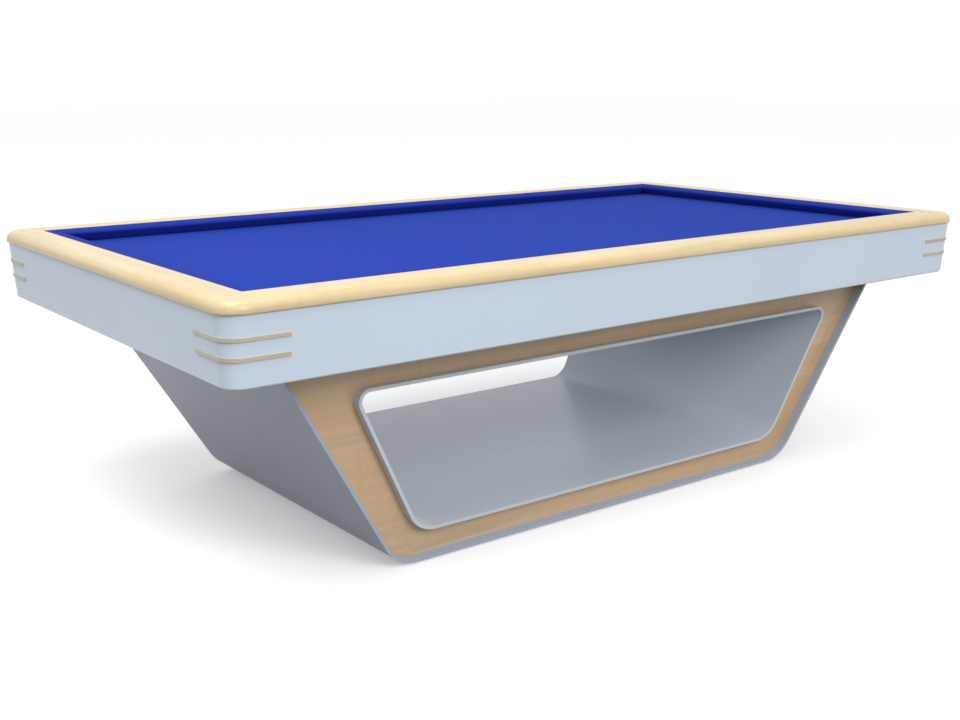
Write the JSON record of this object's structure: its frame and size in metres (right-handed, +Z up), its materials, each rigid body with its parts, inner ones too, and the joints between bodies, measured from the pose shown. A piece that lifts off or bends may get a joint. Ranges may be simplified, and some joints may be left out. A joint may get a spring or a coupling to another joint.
{
  "type": "billiard table",
  "caption": "Pocketless slate-bed billiard table with maple rails, lacquered apron and a see-through trapezoid plinth.",
  "frame": {"origin": "on the floor under the middle of the table", "axes": "+X along the length, +Y from the front long side to the rear one, +Z up"},
  "size_m": [2.84, 1.57, 0.858],
  "materials": {
    "slate": "honed slate",
    "bed_cloth": "napless worsted billiard cloth",
    "cushion_cloth": "napless worsted billiard cloth",
    "rubber": "moulded cushion rubber",
    "timber": "planed softwood",
    "rail_maple": "satin lacquered maple",
    "face_maple": "satin lacquered maple",
    "plywood": "raw birch plywood",
    "apron_lacquer": "satin lacquer over timber",
    "plinth_lacquer": "satin lacquer over board",
    "brass": "turned",
    "foot_pad": "black oxide",
    "zinc_steel": "zinc plated"
  },
  "bodies": {
    "table": {"bed_cloth": "bed_cloth", "slate_left": "slate", "slate_centre": "slate", "slate_right": "slate", "slate_dowels": "brass", "slate_screws": "zinc_steel", "rubber_front": "rubber", "rubber_rear": "rubber", "rubber_left": "rubber", "rubber_right": "rubber", "cushion_cloth_front": "cushion_cloth", "cushion_cloth_rear": "cushion_cloth", "cushion_cloth_left": "cushion_cloth", "cushion_cloth_right": "cushion_cloth", "rail_core_front": "timber", "rail_core_rear": "timber", "rail_core_left": "timber", "rail_core_right": "timber", "rail_cap_front": "rail_maple", "rail_cap_rear": "rail_maple", "rail_cap_left": "rail_maple", "rail_cap_right": "rail_maple", "rail_bolts": "zinc_steel", "apron_front": "apron_lacquer", "apron_rear": "apron_lacquer", "apron_left": "apron_lacquer", "apron_right": "apron_lacquer", "strips_front_left": "rail_maple", "strips_front_right": "rail_maple", "strips_rear_left": "rail_maple", "strips_rear_right": "rail_maple", "apron_brackets": "zinc_steel", "frame_front": "timber", "frame_rear": "timber", "frame_left": "timber", "frame_right": "timber", "cross_beams": "timber", "frame_bolts": "zinc_steel", "end_panel_left": "plinth_lacquer", "end_panel_right": "plinth_lacquer", "bottom_panel": "plinth_lacquer", "face_front": "face_maple", "face_rear": "face_maple", "former_front": "plywood", "former_middle": "plywood", "former_rear": "plywood", "lining_top": "plinth_lacquer", "lining_floor": "plinth_lacquer", "lining_left": "plinth_lacquer", "lining_right": "plinth_lacquer", "foot_blocks": "timber", "foot_inserts": "brass"},
    "pad_front_left": {"pad_front_left": "foot_pad"},
    "stem_front_left": {"stem_front_left": "zinc_steel"},
    "pad_front_right": {"pad_front_right": "foot_pad"},
    "stem_front_right": {"stem_front_right": "zinc_steel"},
    "pad_rear_left": {"pad_rear_left": "foot_pad"},
    "stem_rear_left": {"stem_rear_left": "zinc_steel"},
    "pad_rear_right": {"pad_rear_right": "foot_pad"},
    "stem_rear_right": {"stem_rear_right": "zinc_steel"}
  },
  "joints": [
    {"name": "foot_drop_front_left", "type": "slide", "parent": "table", "child": "pad_front_left", "axis": [0, 0, -1], "range_m": [0, 0.02]},
    {"name": "foot_turn_front_left", "type": "hinge", "parent": "pad_front_left", "child": "stem_front_left", "pos_m": [-0.62, -0.37, 0.02], "axis": [0, 0, -1], "range_deg": [0, 3604]},
    {"name": "foot_drop_front_right", "type": "slide", "parent": "table", "child": "pad_front_right", "axis": [0, 0, -1], "range_m": [0, 0.02]},
    {"name": "foot_turn_front_right", "type": "hinge", "parent": "pad_front_right", "child": "stem_front_right", "pos_m": [0.62, -0.37, 0.02], "axis": [0, 0, -1], "range_deg": [0, 3604]},
    {"name": "foot_drop_rear_left", "type": "slide", "parent": "table", "child": "pad_rear_left", "axis": [0, 0, -1], "range_m": [0, 0.02]},
    {"name": "foot_turn_rear_left", "type": "hinge", "parent": "pad_rear_left", "child": "stem_rear_left", "pos_m": [-0.62, 0.37, 0.02], "axis": [0, 0, -1], "range_deg": [0, 3604]},
    {"name": "foot_drop_rear_right", "type": "slide", "parent": "table", "child": "pad_rear_right", "axis": [0, 0, -1], "range_m": [0, 0.02]},
    {"name": "foot_turn_rear_right", "type": "hinge", "parent": "pad_rear_right", "child": "stem_rear_right", "pos_m": [0.62, 0.37, 0.02], "axis": [0, 0, -1], "range_deg": [0, 3604]}
  ],
  "couplings": [
    {"joint": "foot_turn_front_left", "follows": "foot_drop_front_left", "rad_per_m": 3141.6},
    {"joint": "foot_turn_front_right", "follows": "foot_drop_front_right", "rad_per_m": 3141.6},
    {"joint": "foot_turn_rear_left", "follows": "foot_drop_rear_left", "rad_per_m": 3141.6},
    {"joint": "foot_turn_rear_right", "follows": "foot_drop_rear_right", "rad_per_m": 3141.6}
  ]
}
